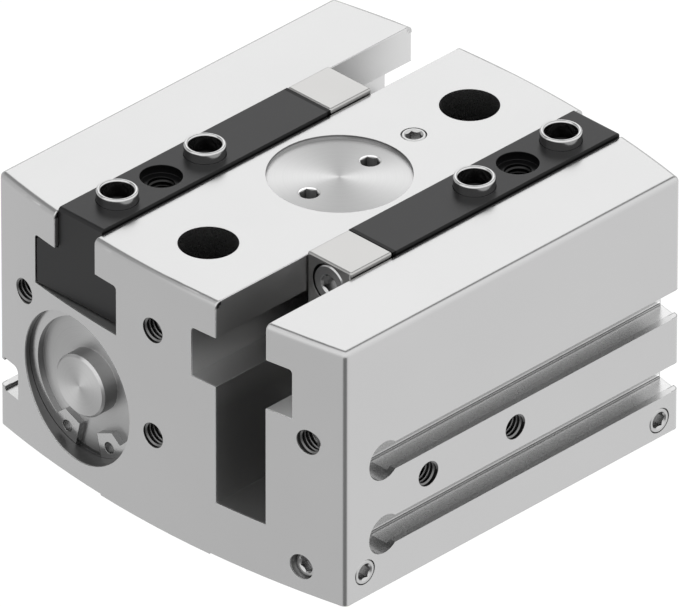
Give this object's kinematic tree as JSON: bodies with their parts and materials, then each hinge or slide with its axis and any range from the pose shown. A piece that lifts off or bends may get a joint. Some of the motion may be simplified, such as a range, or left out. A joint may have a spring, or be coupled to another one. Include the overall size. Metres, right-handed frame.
{
  "type": "parallel gripper",
  "caption": "Pneumatic parallel gripper: convex-ended metal housing with opposed long-stroke jaws in offset slots, tied together by a central pinion.",
  "frame": {"origin": "middle of the mounting pad on the underside", "axes": "+X along the jaws' travel, +Z out of the face that carries the jaws"},
  "size_m": [0.0854, 0.0794, 0.051],
  "materials": {
    "body": "clear anodised, matt",
    "jaw_black": "dark hard anodised",
    "driver_steel": "ground, matt",
    "screw_steel": "plain steel",
    "hard_steel": "ground and polished",
    "turned_steel": "face turned",
    "cap_metal": "face turned",
    "ring_steel": "spring steel",
    "bronze": "sintered bronze",
    "piston_alloy": "machined",
    "seal_rubber": "nitrile",
    "magnet": "plastic-bonded magnet"
  },
  "bodies": {
    "housing": {"housing": "body", "pinion_pin": "hard_steel", "pinion_cover": "turned_steel", "thrust_washers": "bronze", "top_set_screw": "screw_steel", "channel_plugs": "screw_steel", "left_rod_bush": "bronze", "right_rod_bush": "bronze", "left_rod_seal": "seal_rubber", "right_rod_seal": "seal_rubber", "left_end_cap": "cap_metal", "right_end_cap": "cap_metal", "left_cap_seal": "seal_rubber", "right_cap_seal": "seal_rubber", "left_retaining_ring": "ring_steel", "right_retaining_ring": "ring_steel"},
    "left_jaw": {"left_jaw": "jaw_black", "left_driver": "driver_steel", "left_driver_screws": "screw_steel", "left_sleeves": "hard_steel", "left_piston_rod": "hard_steel", "left_piston": "piston_alloy", "left_piston_seals": "seal_rubber", "left_piston_magnet": "magnet", "left_piston_nut": "screw_steel"},
    "right_jaw": {"right_jaw": "jaw_black", "right_driver": "driver_steel", "right_driver_screws": "screw_steel", "right_sleeves": "hard_steel", "right_piston_rod": "hard_steel", "right_piston": "piston_alloy", "right_piston_seals": "seal_rubber", "right_piston_magnet": "magnet", "right_piston_nut": "screw_steel"},
    "pinion": {"pinion": "hard_steel", "pinion_bush": "bronze"}
  },
  "joints": [
    {"name": "left_jaw_slide", "type": "slide", "parent": "housing", "child": "left_jaw", "axis": [1, 0, 0], "range_m": [0, 0.02]},
    {"name": "right_jaw_slide", "type": "slide", "parent": "housing", "child": "right_jaw", "axis": [-1, 0, 0], "range_m": [0, 0.02]},
    {"name": "pinion_spin", "type": "hinge", "parent": "housing", "child": "pinion", "pos_m": [0, 0, 0.0369], "axis": [0, 0, 1], "range_deg": [-115, 0]}
  ],
  "couplings": [
    {"joint": "right_jaw_slide", "follows": "left_jaw_slide", "ratio": 1},
    {"joint": "pinion_spin", "follows": "left_jaw_slide", "rad_per_m": -100}
  ]
}
